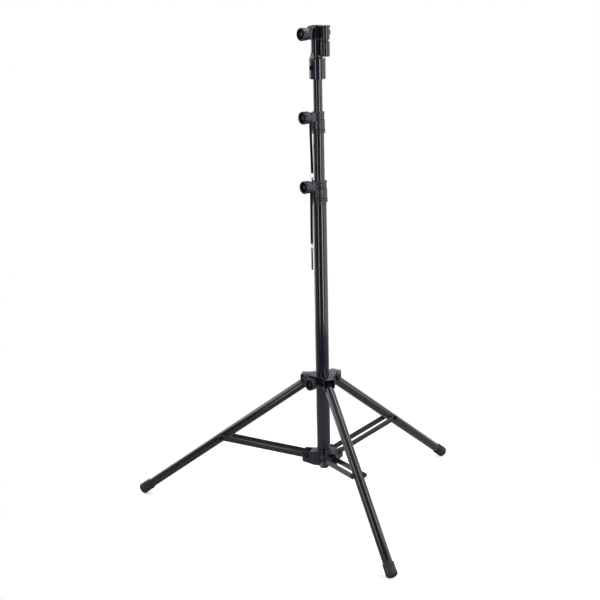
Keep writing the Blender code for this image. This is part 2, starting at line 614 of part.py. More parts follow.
def lanyard(level, start, ring_place):
    """A limp cord from a collar's boss, with a split ring and a safety pin on its end."""
    end = ring_place + Vector((0, 0, RING_RADIUS + RING_WIRE + GAP))
    data = bpy.data.curves.new(f"{level}_lanyard", "CURVE")
    data.dimensions = "3D"
    data.bevel_depth = LANYARD_RADIUS
    data.bevel_resolution = 2
    data.use_fill_caps = True
    spline = data.splines.new("POLY")
    steps = 12
    spline.points.add(steps)
    for k, point in enumerate(spline.points):
        t = k / steps
        ease = t * t * (3 - 2 * t)
        x, y = start.x + (end.x - start.x) * ease, start.y + (end.y - start.y) * ease
        point.co = (x, y, start.z + (end.z - start.z) * t, 1)
    place(f"{level}_lanyard", data, STAND, BLACK_WEBBING)
    turn = atan2(ring_place.y, ring_place.x)
    made = place(f"{level}_ring", torus(f"{level}_ring", RING_RADIUS, RING_WIRE), STAND, BRIGHT_STEEL,
                 ring_place, (pi / 2, 0, turn + pi / 6))
    screw_turn(made, 16)
    eye = ring_place - Vector((0, 0, RING_RADIUS - RING_WIRE + EYE_RADIUS - EYE_WIRE - GAP))
    pin = place(f"{level}_pin", torus(f"{level}_pin", EYE_RADIUS, EYE_WIRE), STAND, DARK_STEEL,
                eye, (pi / 2, 0, turn + pi / 6 + pi / 2))
    screw_turn(pin, 12)
    top = eye - Vector((0, 0, EYE_RADIUS))
    shank = place(f"{level}_shank", mesh_of("shank", rod(
        top, top - Vector((0, 0, PIN_LENGTH)), PIN_RADIUS, segments=14)), STAND)
    shape(pin, "UNION", shank)


def build():
    column_tubes()
    lower_knob_z = collar("lower_collar", LOWER_COLLAR_Z, BASE_TUBE, MID_TUBE, 0.0230, 0.0192)
    upper_knob_z = collar("upper_collar", UPPER_COLLAR_Z, MID_TUBE, TOP_TUBE, 0.0192, 0.0157)
    crown()
    hub()
    for side, azimuth in LEG_AZIMUTHS.items():
        leg(side, azimuth)
        brace(side, azimuth)
    head()
    knob("lower_knob", KNOB_AZIMUTH, lower_knob_z, MID_TUBE[0])
    knob("upper_knob", KNOB_AZIMUTH, upper_knob_z, TOP_TUBE[0])
    knob("head_knob", KNOB_AZIMUTH, HEAD_KNOB_Z, SOCKET_BORE)
    knob("crown_knob", CROWN_KNOB_AZIMUTH, CROWN_KNOB_Z, BASE_TUBE[0], CROWN_KNOB_REACH, CROWN_KNOB_RADIUS)
    under_boss = BOSS_DROP + GAP
    lower_start = polar(LANYARD_STAND_OFF - 0.001, KNOB_AZIMUTH, lower_knob_z - under_boss)
    upper_start = polar(LANYARD_STAND_OFF - 0.003, KNOB_AZIMUTH, upper_knob_z - under_boss)
    lanyard("lower", lower_start, polar(LANYARD_STAND_OFF, KNOB_AZIMUTH, LOWER_RING_Z))
    lanyard("upper", upper_start, polar(*UPPER_RING_PLACE, UPPER_RING_Z))


build()
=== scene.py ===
from math import atan2, cos, hypot, pi, radians, sin

import bmesh
import bpy
from mathutils import Matrix, Vector


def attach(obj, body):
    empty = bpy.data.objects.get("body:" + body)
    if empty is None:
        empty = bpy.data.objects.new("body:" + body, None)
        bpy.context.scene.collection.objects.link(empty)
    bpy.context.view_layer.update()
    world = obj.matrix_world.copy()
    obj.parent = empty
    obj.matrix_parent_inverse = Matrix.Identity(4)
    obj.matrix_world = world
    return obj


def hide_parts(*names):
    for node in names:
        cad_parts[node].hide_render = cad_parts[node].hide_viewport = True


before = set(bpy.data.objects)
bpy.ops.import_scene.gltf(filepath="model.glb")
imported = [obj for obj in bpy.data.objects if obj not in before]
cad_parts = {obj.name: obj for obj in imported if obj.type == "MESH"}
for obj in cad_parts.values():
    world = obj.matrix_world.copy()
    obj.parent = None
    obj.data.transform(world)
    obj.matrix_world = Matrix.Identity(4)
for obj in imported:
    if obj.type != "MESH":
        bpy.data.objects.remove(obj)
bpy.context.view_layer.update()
print("frame loaded:", len(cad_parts), "nodes")

# Folding light stand. Metres, +Z up. Every piece is turned or cut about the column's axis,
# a leg's frame or a brace's frame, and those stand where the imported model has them.

stand = {
    "columnY": 0.1476,  # the column's axis, from the middle of the footprint
    "legAzimuths": {"front": 270.0, "right": 30.0, "left": 150.0},
    "knobAzimuth": 204.4,
    "gap": 0.0003,  # between pieces that slide or touch
}
columnAxis = Matrix.Translation((0, stand["columnY"], 0))


def upright(azimuth):  # X points outward at the azimuth and Z up
    return columnAxis @ Matrix.Rotation(radians(azimuth), 4, "Z")


def outward(azimuth, height):  # Z points outward at the azimuth
    return upright(azimuth) @ Matrix.Translation((0, 0, height)) @ Matrix.Rotation(pi / 2, 4, "Y")


def slanted(azimuth, distance, height, lean):  # a leg's or a brace's frame at its pivot
    return (upright(azimuth) @ Matrix.Translation((distance, 0, height))
            @ Matrix.Rotation(-lean, 4, "Y"))


def polar(radius, azimuth, height=0.0):
    a = radians(azimuth)
    return Vector((radius * cos(a), stand["columnY"] + radius * sin(a), height))


# Materials

def hexColour(text):  # sRGB hex to linear
    values = [int(text[k:k + 2], 16) / 255 for k in (1, 3, 5)]
    return (*[v / 12.92 if v <= 0.04045 else ((v + 0.055) / 1.055) ** 2.4 for v in values], 1.0)


def addNode(tree, kind, settings=None, links=None):
    node = tree.nodes.new(kind)
    for key, value in (settings or {}).items():
        if hasattr(node, key):
            setattr(node, key, value)
        else:
            node.inputs[key].default_value = value
    for key, source in (links or {}).items():
        tree.links.new(source, node.inputs[key])
    return node


def perMetre(millimetres):  # a pattern's scale from its real size
    return 1000.0 / millimetres


def surface(name, look):
    # Two noises tint and roughen the surface, and a fine grain raises it
    made = bpy.data.materials.new(name)
    made.use_nodes = True
    tree = made.node_tree
    shader = tree.nodes["Principled BSDF"]
    place = addNode(tree, "ShaderNodeTexCoord").outputs["Object"]
    mottle = addNode(tree, "ShaderNodeTexNoise",
                     {"Scale": perMetre(look["mottle"]), "Detail": 4.0, "Roughness": 0.6}, {"Vector": place})
    tint = addNode(tree, "ShaderNodeValToRGB", links={"Fac": mottle.outputs["Fac"]})
    tint.color_ramp.elements[0].position = 0.35
    tint.color_ramp.elements[0].color = hexColour(look["dark"])
    tint.color_ramp.elements[1].position = 0.68
    tint.color_ramp.elements[1].color = hexColour(look["light"])
    tree.links.new(tint.outputs["Color"], shader.inputs["Base Color"])
    low, high = look["roughness"]
    sheen = addNode(tree, "ShaderNodeTexNoise",
                    {"Scale": perMetre(look["mottle"] * 0.45), "Detail": 3.0}, {"Vector": place})
    rough = addNode(tree, "ShaderNodeMapRange",
                    {"From Min": 0.3, "From Max": 0.7, "To Min": low, "To Max": high},
                    {"Value": sheen.outputs["Fac"]})
    tree.links.new(rough.outputs["Result"], shader.inputs["Roughness"])
    grain = addNode(tree, "ShaderNodeTexNoise",
                    {"Scale": perMetre(look["grain"]), "Detail": 2.0}, {"Vector": place})
    relief = addNode(tree, "ShaderNodeBump",
                     {"Strength": look["relief"], "Distance": look["depth"]}, {"Height": grain.outputs["Fac"]})
    tree.links.new(relief.outputs["Normal"], shader.inputs["Normal"])
    shader.inputs["Metallic"].default_value = look.get("metallic", 0.0)
    shader.inputs["Coat Weight"].default_value = look.get("coat", 0.0)
    shader.inputs["Coat Roughness"].default_value = look.get("coatRoughness", 0.1)
    shader.inputs["Specular IOR Level"].default_value = look.get("specular", 0.5)
    return made


# Semi-gloss black enamel stoved on drawn tube: a dark mirror with the faintest orange peel
tubeEnamel = surface("semiGlossTubeEnamel", {
    "dark": "#101019", "light": "#171721", "mottle": 40, "roughness": (0.10, 0.14),
    "grain": 3.0, "relief": 0.008, "depth": 0.0002, "coat": 0.15, "coatRoughness": 0.06})
# Black powder coat on pressed bars: the same colour, a little duller, with a coarser skin
barPowderCoat = surface("powderCoatedBar", {
    "dark": "#0e0f12", "light": "#15161a", "mottle": 30, "roughness": (0.24, 0.32),
    "grain": 2.0, "relief": 0.05, "depth": 0.0002, "coat": 0.1, "coatRoughness": 0.15})
# Painted aluminium die casting: glossy paint over a slightly uneven skin
castEnamel = surface("paintedDieCasting", {
    "dark": "#11111b", "light": "#181824", "mottle": 22, "roughness": (0.11, 0.16),
    "grain": 2.4, "relief": 0.012, "depth": 0.0002, "coat": 0.15, "coatRoughness": 0.06})
# Glass-filled nylon mouldings: an even spark-eroded texture, grain drawn at 1.2 mm so that it shows
mouldedNylon = surface("sparkErodedNylon", {
    "dark": "#171720", "light": "#21212d", "mottle": 12, "roughness": (0.26, 0.34),
    "grain": 1.2, "relief": 0.10, "depth": 0.00025})
# Moulded rubber: dull, greyer where it has rubbed on the floor
footRubber = surface("mouldedRubber", {
    "dark": "#101012", "light": "#1d1d20", "mottle": 9, "roughness": (0.50, 0.66),
    "grain": 0.9, "relief": 0.18, "depth": 0.0003})
# Black-oxide steel: dark metal under a thin film of oil
oxideSteel = surface("blackOxideSteel", {
    "dark": "#17171a", "light": "#28282c", "mottle": 6, "roughness": (0.24, 0.34),
    "grain": 0.8, "relief": 0.06, "depth": 0.0001, "metallic": 0.85})
# Zinc-plated steel: bright, slightly cloudy
zincSteel = surface("zincPlatedSteel", {
    "dark": "#8d8f92", "light": "#b4b6b9", "mottle": 5, "roughness": (0.20, 0.30),
    "grain": 0.8, "relief": 0.05, "depth": 0.0001, "metallic": 1.0})
# Natural grey nylon of the liners and bushes
liningNylon = surface("greyNylonLining", {
    "dark": "#3c3c40", "light": "#4a4a4f", "mottle": 10, "roughness": (0.45, 0.58),
    "grain": 0.8, "relief": 0.12, "depth": 0.0002})


def wovenTape():
    # Flat woven nylon tape: herringbone picks about 1.1 mm apart, drawn by two slanted waves
    made = surface("wovenNylonTape", {
        "dark": "#08080a", "light": "#111114", "mottle": 4, "roughness": (0.80, 0.92),
        "grain": 0.5, "relief": 0.15, "depth": 0.0002, "specular": 0.2})
    tree = made.node_tree
    shader = tree.nodes["Principled BSDF"]
    place = addNode(tree, "ShaderNodeTexCoord").outputs["Object"]
    heights = []
    for lean in (0.6, -0.6):
        turned = addNode(tree, "ShaderNodeMapping", {"Rotation": (lean, lean, 0)}, {"Vector": place})
        waves = addNode(tree, "ShaderNodeTexWave",
                        {"bands_direction": "Z", "Scale": perMetre(1.1 * 2 * pi), "Distortion": 0.4},
                        {"Vector": turned.outputs["Vector"]})
        heights.append(waves.outputs["Fac"])
    weave = addNode(tree, "ShaderNodeMath", {"operation": "MAXIMUM"})
    tree.links.new(heights[0], weave.inputs[0])
    tree.links.new(heights[1], weave.inputs[1])
    relief = addNode(tree, "ShaderNodeBump", {"Strength": 0.6, "Distance": 0.0004},
                     {"Height": weave.outputs["Value"]})
    tree.links.new(relief.outputs["Normal"], shader.inputs["Normal"])
    return made


tape = wovenTape()
print("materials mixed:", len(bpy.data.materials))


# Modelling helpers: each returns a bmesh in its own frame, and at() sets a copy of it in place

def softened(points, cut, closed=False):  # a profile with its corners rounded
    smooth = []
    for k, corner in enumerate(points):
        if not closed and k in (0, len(points) - 1):
            smooth.append(corner)
            continue
        here = Vector(corner)
        before = Vector(points[k - 1]) - here
        after = Vector(points[(k + 1) % len(points)]) - here
        reach = min(cut, before.length * 0.45, after.length * 0.45)
        start = before.normalized() * reach
        end = after.normalized() * reach
        for t in (0.0, 0.33, 0.67, 1.0):
            smooth.append(tuple(here + start * (1 - t) ** 2 + end * t ** 2))
    return smooth


def spun(points, steps=96, closed=False):  # a profile of (radius, height) turned about Z
    bm = bmesh.new()
    verts = [bm.verts.new((r, 0, z)) for r, z in points]
    edges = [bm.edges.new(pair) for pair in zip(verts, verts[1:])]
    if closed:
        edges.append(bm.edges.new((verts[-1], verts[0])))
    bmesh.ops.spin(bm, geom=verts + edges, cent=(0, 0, 0), axis=(0, 0, 1), angle=2 * pi,
                   steps=steps, use_merge=True)
    bmesh.ops.remove_doubles(bm, verts=bm.verts, dist=1e-6)
    bmesh.ops.recalc_face_normals(bm, faces=bm.faces)
    return bm


def sleeve(outer, inner, bottom, top, cut=0.0004, steps=96):  # a plain tube with eased lips
    ring = [(outer, top), (outer, bottom), (inner, bottom), (inner, top)]
    return spun(softened(ring, cut, closed=True), steps, closed=True)


def eased(bm, edges, width, segments=3):
    bmesh.ops.bevel(bm, geom=edges, offset=width, segments=segments, profile=0.5,
                    affect="EDGES", material=-1)
    return bm


def block(low, high, edge=0.0, segments=3):
    bm = bmesh.new()
    verts = bmesh.ops.create_cube(bm, size=1.0)["verts"]
    bmesh.ops.scale(bm, vec=Vector(high) - Vector(low), verts=verts)
    bmesh.ops.translate(bm, vec=(Vector(low) + Vector(high)) / 2, verts=verts)
    return eased(bm, bm.edges[:], edge, segments) if edge else bm


def rod(start, end, radius, endRadius=None, sides=48, edge=0.0):
    bm = bmesh.new()
    axis = Vector(end) - Vector(start)
    bmesh.ops.create_cone(bm, cap_ends=True, segments=sides, radius1=radius,
                          radius2=radius if endRadius is None else endRadius, depth=axis.length)
    if edge:
        caps = [face for face in bm.faces if len(face.verts) == sides]
        eased(bm, list({e for face in caps for e in face.edges}), edge)
    bmesh.ops.rotate(bm, matrix=axis.to_track_quat("Z", "Y").to_matrix(), verts=bm.verts)
    bmesh.ops.translate(bm, vec=(Vector(start) + Vector(end)) / 2, verts=bm.verts)
    return bm


def plate(outline, halfWidth, edge=0.0, segments=2):  # an outline of (X, Z) with its thickness along Y
    bm = bmesh.new()
    near = bm.faces.new([bm.verts.new((x, -halfWidth, z)) for x, z in outline])
    swept = bmesh.ops.extrude_face_region(bm, geom=[near])["geom"]
    far = [item for item in swept if isinstance(item, bmesh.types.BMVert)]
    bmesh.ops.translate(bm, vec=(0, 2 * halfWidth, 0), verts=far)
    bmesh.ops.recalc_face_normals(bm, faces=bm.faces)
    return eased(bm, bm.edges[:], edge, segments) if edge else bm


def at(shape, place):
    moved = shape.copy()
    bmesh.ops.transform(moved, matrix=place, verts=moved.verts)
    return moved


def asObject(bm, name):
    mesh = bpy.data.meshes.new(name)
    bm.to_mesh(mesh)
    made = bpy.data.objects.new(name, mesh)
    bpy.context.scene.collection.objects.link(made)
    return made


def carved(base, *steps):  # steps are (operation, shape), done in turn
    work = asObject(base, "work")
    tools = []
    for operation, part in steps:
        tool = asObject(part, "tool")
        cut = work.modifiers.new("cut", "BOOLEAN")
        cut.operation = operation
        cut.object = tool
        tools.append(tool)
    bpy.context.view_layer.update()
    mesh = work.evaluated_get(bpy.context.evaluated_depsgraph_get()).to_mesh()
    bm = bmesh.new()
    bm.from_mesh(mesh)
    for spent in [work, *tools]:
        bpy.data.objects.remove(spent)
    bmesh.ops.dissolve_degenerate(bm, dist=1e-6, edges=bm.edges)
    return bm


def piece(name, shape, finish, body, nodes=(), sharp=32):
    mesh = bpy.data.meshes.new(name)
    shape.to_mesh(mesh)
    mesh.materials.append(finish)
    mesh.shade_smooth()
    mesh.set_sharp_from_angle(angle=radians(sharp))
    made = bpy.data.objects.new(name, mesh)
    bpy.context.scene.collection.objects.link(made)
    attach(made, body)
    if nodes:
        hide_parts(*nodes)
    return made


# Column tubes: outer and inner radius, lowest and highest point

tubes = {
    "baseTube": {"outer": 0.0205, "inner": 0.0188, "foot": 0.1420, "top": 0.9917, "body": "column", "node": "base_tube"},
    "midTube": {"outer": 0.0165, "inner": 0.0149, "foot": 0.3400, "top": 1.1967, "body": "mid_section", "node": "mid_tube"},
    "topTube": {"outer": 0.0135, "inner": 0.0120, "foot": 0.4500, "top": 1.3837, "body": "top_section", "node": "top_tube"},
}
for name, t in tubes.items():
    piece(name, at(sleeve(t["outer"], t["inner"], t["foot"], t["top"]), columnAxis),
          tubeEnamel, t["body"], [t["node"]])
print("tubes drawn")


# Clamp collars

collars = {
    "lower": {"foot": 0.962, "body": 0.0230, "mouth": 0.0192, "outerTube": 0.0205, "innerTube": 0.0165,
              "rides": "column"},
    "upper": {"foot": 1.167, "body": 0.0192, "mouth": 0.0157, "outerTube": 0.0165, "innerTube": 0.0135,
              "rides": "mid_section"},
}
collarSet = {"height": 0.063, "shoulder": 0.030, "knobDrop": 0.014, "bossReach": 0.037, "bossHalf": 0.012}


def knobHeight(level):
    return collars[level]["foot"] + collarSet["height"] - collarSet["knobDrop"]


def collarPieces(level):
    c = collars[level]
    foot = c["foot"]
    top = foot + collarSet["height"]
    r = c["body"]
    seat = c["outerTube"] + stand["gap"]
    axisZ = knobHeight(level)
    ring = softened([
        (r, top), (r, top - 0.0056), (r - 0.0012, top - 0.0064), (r - 0.0012, top - 0.0132),
        (r - 0.0006, top - 0.0138), (r - 0.0006, top - 0.0150), (r - 0.0012, top - 0.0156),
        (r - 0.0012, top - 0.0206), (r - 0.0020, top - 0.0210), (r - 0.0020, top - 0.0222),
        (r + 0.0003, top - 0.0228), (r + 0.0003, foot + 0.0136), (r - 0.0010, foot + 0.0132),
        (r - 0.0010, foot + 0.0120), (r + 0.0014, foot + 0.0112), (r + 0.0014, foot + 0.0070),
        (r + 0.0006, foot + 0.0064), (r + 0.0006, foot + 0.0054), (r + 0.0014, foot + 0.0048),
        (r + 0.0014, foot), (seat, foot), (seat, foot + collarSet["shoulder"]),
        (c["mouth"], foot + collarSet["shoulder"]), (c["mouth"], top),
    ], 0.0004, closed=True)
    half = collarSet["bossHalf"]
    boss = block((c["mouth"] + 0.0012, -half, axisZ - 0.0145), (collarSet["bossReach"], half, top - 0.0004), 0.0034, 4)
    rib = block((r - 0.0012, -0.0040, foot + 0.0130), (r + 0.0040, 0.0040, axisZ - 0.0090), 0.0012)
    sideRib = [block((0.004, side - 0.0009, foot + 0.0140), (r + 0.0024, side + 0.0009, axisZ - 0.0100), 0.0005)
               for side in (-0.0098, 0.0098)]
    mouth = rod((0, 0, foot + collarSet["shoulder"] - 0.002), (0, 0, top + 0.01), c["mouth"], sides=96)
    body = carved(spun(ring, 96, closed=True), ("UNION", boss), ("UNION", rib),
                  ("UNION", sideRib[0]), ("UNION", sideRib[1]), ("DIFFERENCE", mouth),
                  ("DIFFERENCE", rod((0, 0, foot - 0.01), (0, 0, foot + collarSet["shoulder"]), seat, sides=96)),
                  ("DIFFERENCE", rod((0.010, 0, axisZ), (0.045, 0, axisZ), 0.0043)),
                  ("DIFFERENCE", block((-0.040, -0.0008, top - 0.0200), (-0.010, 0.0008, top + 0.01))))
    piece(level + "Collar", at(body, upright(stand["knobAzimuth"])), mouldedNylon, c["rides"],
          [level + "_collar"])
    liner = sleeve(c["mouth"] - stand["gap"], c["innerTube"] + stand["gap"], top - 0.0070, top + 0.0012, 0.0003)
    piece(level + "Liner", at(liner, columnAxis), liningNylon, c["rides"], [level + "_liner"])


for level in collars:
    collarPieces(level)
print("collars moulded")


# Clamp knobs: a ribbed grip with a deep webbed cup

knobs = {
    "lower": {"azimuth": 204.4, "height": knobHeight("lower"), "reach": 0.063, "radius": 0.0191},
    "upper": {"azimuth": 204.4, "height": knobHeight("upper"), "reach": 0.063, "radius": 0.0191},
    "head": {"azimuth": 204.4, "height": 1.457, "reach": 0.063, "radius": 0.0191},
    "crown": {"azimuth": 210.0, "height": 0.4052, "reach": 0.062, "radius": 0.0184},
}
knobSet = {"start": 0.038, "ribs": 24, "ribDepth": 0.0006, "cupDepth": 0.0135, "webThickness": 0.0020,
           "band": 0.0062, "neck": 0.0042}


def knobShape(reach, radius):
    start = knobSet["start"]
    cup = radius * 0.78
    floor = reach - knobSet["cupDepth"]
    band, neck = reach - knobSet["band"], start + knobSet["neck"]
    profile = softened([
        (0, reach - 0.0030), (radius * 0.27, reach - 0.0030), (radius * 0.30, floor), (cup - 0.0006, floor),
        (cup + 0.0004, reach), (radius - 0.0010, reach), (radius, reach - 0.0010), (radius, band),
        (radius - 0.0012, band - 0.0006), (radius - 0.0012, band - 0.0018), (radius - 0.0004, band - 0.0024),
        (radius - 0.0006, neck), (radius * 0.84, start + 0.0012), (radius * 0.64, start + 0.0008),
        (radius * 0.62, start), (0, start),
    ], 0.0007)
    body = spun(profile, knobSet["ribs"] * 6)
    low, high = neck - 0.0004, band - 0.0020
    for vert in body.verts:
        r = hypot(vert.co.x, vert.co.y)
        if low < vert.co.z < high and r > radius * 0.90:
            turn = atan2(vert.co.y, vert.co.x) * knobSet["ribs"]
            share = 1 - knobSet["ribDepth"] * (0.5 - 0.5 * cos(turn)) / r
            vert.co.x *= share
            vert.co.y *= share
    half = knobSet["webThickness"] / 2
    webs = []
    for turn in (0, pi / 3, 2 * pi / 3):
        web = block((-cup, -half, floor - 0.0010), (cup, half, reach - 0.0046), 0.0004, 2)
        webs.append(("UNION", at(web, Matrix.Rotation(turn, 4, "Z"))))
    return carved(body, *webs)


for name, k in knobs.items():
    piece(name + "Knob", at(knobShape(k["reach"], k["radius"]), outward(k["azimuth"], k["height"])),
          mouldedNylon, name + "_knob", [name + "_knob"])
print("knobs moulded")


# Fasteners

def hexagon(start, end, corner):  # a hexagon along Z with turned chamfers
    prism = rod((0, 0, start), (0, 0, end), corner, sides=6)
    flat = corner * cos(pi / 6)
    barrel = spun([(0, end), (flat, end), (corner, end - 0.0007), (corner, start + 0.0004), (flat, start), (0, start)])
    return carved(prism, ("INTERSECT", barrel))


def dome(base, top, radius):  # a rivet's head along Z
    rise = top - base
    arc = [(radius * cos(a), base + rise * (0.25 + 0.75 * sin(a))) for a in [pi / 2 * k / 8 for k in range(8, -1, -1)]]
    arc[0] = (0, top)
    return spun(arc + [(radius, base), (0, base)], 48)


def crossWise(shape, side):  # turns a shape along Z to lie along +Y or -Y
    return at(shape, Matrix.Rotation(-side * pi / 2, 4, "X"))


fastenerSet = {"shank": 0.0040, "washer": 0.0082, "washerThickness": 0.0010}


def crownBolt(half):
    washer = fastenerSet["washer"]
    thick = fastenerSet["washerThickness"]
    head = carved(sleeve(washer, fastenerSet["shank"] * 0.9, half + stand["gap"], half + thick, 0.0002, 64),
                  ("UNION", hexagon(half + thick - 0.0002, half + 0.0055, 0.0065)))
    shank = rod((0, -half - 0.0005, 0), (0, half + 0.0005, 0), fastenerSet["shank"])
    return carved(shank, ("UNION", crossWise(head, 1)), ("UNION", crossWise(head, -1)))


def hubRivet(half):
    head = dome(half + stand["gap"], half + 0.0028, 0.0068)
    shank = rod((0, -half - 0.0005, 0), (0, half + 0.0005, 0), fastenerSet["shank"])
    return carved(shank, ("UNION", crossWise(head, 1)), ("UNION", crossWise(head, -1)))


# Crown casting that slides on the base tube

crownSet = {"top": 0.427, "skirt": 0.030, "reach": 0.066, "wall": 0.003, "slot": 0.0148, "sleeve": 0.0285,
            "sleeveFoot": 0.3855, "slotStart": 0.0290, "pivot": (0.047, 0.405), "bore": 0.0208, "edge": 0.0005,
            "webReach": 0.0385, "webHalf": 0.0300}


def castingArms(low, high, halfWidth, edge, segments=3):
    return [at(block((low[0], -halfWidth, low[1]), (high[0], halfWidth, high[1]), edge, segments),
               Matrix.Rotation(radians(azimuth), 4, "Z")) for azimuth in stand["legAzimuths"].values()]


def crownShape():
    c = crownSet
    half = c["slot"] + c["wall"]
    foot, top, edge = c["top"] - c["skirt"], c["top"], c["edge"]
    hub = spun(softened([(0, top + 0.0003), (c["sleeve"], top + 0.0003), (c["sleeve"], c["sleeveFoot"]),
                         (0, c["sleeveFoot"])], 0.0014))
    knobTurn = Matrix.Rotation(radians(knobs["crown"]["azimuth"]), 4, "Z")
    knobZ = knobs["crown"]["height"]
    web = plate([(0, top - 0.0024), (c["webReach"], top - 0.0024), (c["webReach"], top - 0.0002),
                 (0, top - 0.0002)], c["webHalf"], 0.0006)
    steps = [("UNION", at(web, Matrix.Rotation(radians(azimuth + 60), 4, "Z")))
             for azimuth in stand["legAzimuths"].values()]
    steps += [("UNION", arm) for arm in castingArms((0, foot), (c["reach"], top), half, edge)]
    rib = block((0.0265, -half - 0.0062, foot - 0.0060), (0.0340, -half + 0.0010, top - 0.0010), 0.0012)
    steps += [("UNION", at(rib, Matrix.Rotation(radians(azimuth), 4, "Z")))
              for azimuth in stand["legAzimuths"].values()]
    steps += [("DIFFERENCE", slot) for slot in castingArms(
        (c["slotStart"], 0.38), (0.08, top - c["wall"]), c["slot"], edge)]
    steps.append(("UNION", at(rod((0.0235, 0, knobZ), (0.0365, 0, knobZ), 0.0125, 0.0110, edge=0.0008), knobTurn)))
    steps.append(("DIFFERENCE", at(rod((0.012, 0, knobZ), (0.045, 0, knobZ), 0.0043), knobTurn)))
    steps.append(("DIFFERENCE", rod((0, 0, 0.37), (0, 0, 0.44), c["bore"], sides=96)))
    reach, height = c["pivot"]
    for azimuth in stand["legAzimuths"].values():
        hole = rod((reach, -0.030, height), (reach, 0.030, height), 0.0043)
        steps.append(("DIFFERENCE", at(hole, Matrix.Rotation(radians(azimuth), 4, "Z"))))
    return carved(hub, *steps)


piece("crownCasting", at(crownShape(), columnAxis), castEnamel, "crown", ["crown"])
boltShape = crownBolt(crownSet["slot"] + crownSet["wall"])
for side, azimuth in stand["legAzimuths"].items():
    reach, height = crownSet["pivot"]
    piece(f"crownBolt.{side}", at(boltShape, upright(azimuth) @ Matrix.Translation((reach, 0, height))),
          oxideSteel, "crown", [f"crown_bolt_{side}"])
print("crown cast")


# Hub casting at the column's foot

hubSet = {"floor": 0.137, "lip": 0.1475, "top": 0.1795, "reach": 0.064, "slot": 0.0195, "wall": 0.003,
          "web": 0.0405, "cup": 0.0268, "pivot": (0.050, 0.1660), "bore": 0.0208, "edge": 0.0006}


def hubShape():
    h = hubSet
    half = h["slot"] + h["wall"]
    under = h["floor"] - 0.001
    cup = spun(softened([(0, h["top"] + 0.006), (h["cup"], h["top"] + 0.006), (h["cup"], under), (0, under)], 0.0012))
    arm = plate([(0, h["floor"]), (h["cup"], h["floor"]), (h["reach"], h["lip"]), (h["reach"], h["top"]),
                 (0, h["top"])], half, h["edge"])
    roof = h["top"] - h["wall"]
    slot = plate([(0.0278, 0.100), (0.080, 0.100), (0.080, 0.190), (h["web"], 0.190), (h["web"], roof),
                  (0.0278, roof)], h["slot"], 0)
    turns = [Matrix.Rotation(radians(azimuth), 4, "Z") for azimuth in stand["legAzimuths"].values()]
    steps = [("UNION", at(arm, turn)) for turn in turns]
    steps += [("DIFFERENCE", at(slot, turn)) for turn in turns]
    steps.append(("DIFFERENCE", rod((0, 0, h["floor"] + 0.0045), (0, 0, 0.20), h["bore"], sides=96)))
    reach, height = h["pivot"]
    hole = rod((reach, -0.030, height), (reach, 0.030, height), 0.0043)
    steps += [("DIFFERENCE", at(hole, turn)) for turn in turns]
    return carved(cup, *steps)


piece("hubCasting", at(hubShape(), columnAxis), castEnamel, "column", ["hub"])
rivetShape = hubRivet(hubSet["slot"] + hubSet["wall"])
for side, azimuth in stand["legAzimuths"].items():
    reach, height = hubSet["pivot"]
    piece(f"hubRivet.{side}", at(rivetShape, upright(azimuth) @ Matrix.Translation((reach, 0, height))),
          oxideSteel, "column", [f"hub_rivet_{side}"])
footPlug = softened([(0, 0.1357), (0.0150, 0.1357), (0.0150, 0.1290), (0.0125, 0.1245), (0, 0.1245)], 0.0012)
piece("basePlug", at(spun(footPlug, 64), columnAxis), footRubber, "column", ["base_plug"])
print("hub cast")


# Legs: tube and rubber tip, in a frame whose Z runs up the leg from its foot to the crown bolt

legSet = {"pivot": (0.047, 0.405), "foot": (0.602, 0.0121), "outer": 0.01435, "inner": 0.01285, "head": 0.008,
          "tipLength": 0.040, "tipWall": 0.003}
legRun = legSet["foot"][0] - legSet["pivot"][0]
legDrop = legSet["pivot"][1] - legSet["foot"][1]
legLength = hypot(legRun, legDrop)
legLean = atan2(legRun, legDrop)


def tipShape():
    sole = legSet["outer"] + legSet["tipWall"]
    grip = legSet["outer"] + stand["gap"]
    end = -legLength
    top = legSet["tipLength"] - legLength
    profile = [(grip, top), (sole - 0.0012, top), (sole - 0.0002, top - 0.0012), (sole - 0.0006, top - 0.0062)]
    for k in range(3):  # shallow grip grooves round the tip
        z = top - 0.0075 - 0.0052 * k
        profile += [(sole - 0.0006, z), (sole - 0.0014, z - 0.0006), (sole - 0.0014, z - 0.0016), (sole - 0.0004, z - 0.0022)]
    profile += [(sole, end + 0.0080), (sole - 0.0004, end + 0.0030), (sole - 0.0034, end), (0, end),
                (0, end + 0.0056), (grip, end + 0.0056)]
    return spun(softened(profile, 0.0012, closed=True), 80, closed=True)


tubeShape = sleeve(legSet["outer"], legSet["inner"], 0.006 - legLength, legSet["head"], 0.0004, 80)
legTip = tipShape()
for side, azimuth in stand["legAzimuths"].items():
    place = slanted(azimuth, *legSet["pivot"], legLean)
    piece(f"legTube.{side}", at(tubeShape, place), tubeEnamel, f"leg_{side}", [f"leg_{side}_tube"])
    tip = at(legTip, place)
    cut = bmesh.ops.bisect_plane(tip, geom=tip.verts[:] + tip.edges[:] + tip.faces[:], dist=1e-6,
                                 plane_co=(0, 0, 0.0), plane_no=(0, 0, -1), clear_outer=True)["geom_cut"]
    rim = [item for item in cut if isinstance(item, bmesh.types.BMEdge)]
    if rim:
        bmesh.ops.edgeloop_fill(tip, edges=rim)
    bmesh.ops.recalc_face_normals(tip, faces=tip.faces)
    piece(f"legTip.{side}", tip, footRubber, f"leg_{side}", [f"leg_{side}_tip"])
print("legs drawn")


# Braces: two flat bars a leg, with a bolt half and a nut half at the leg

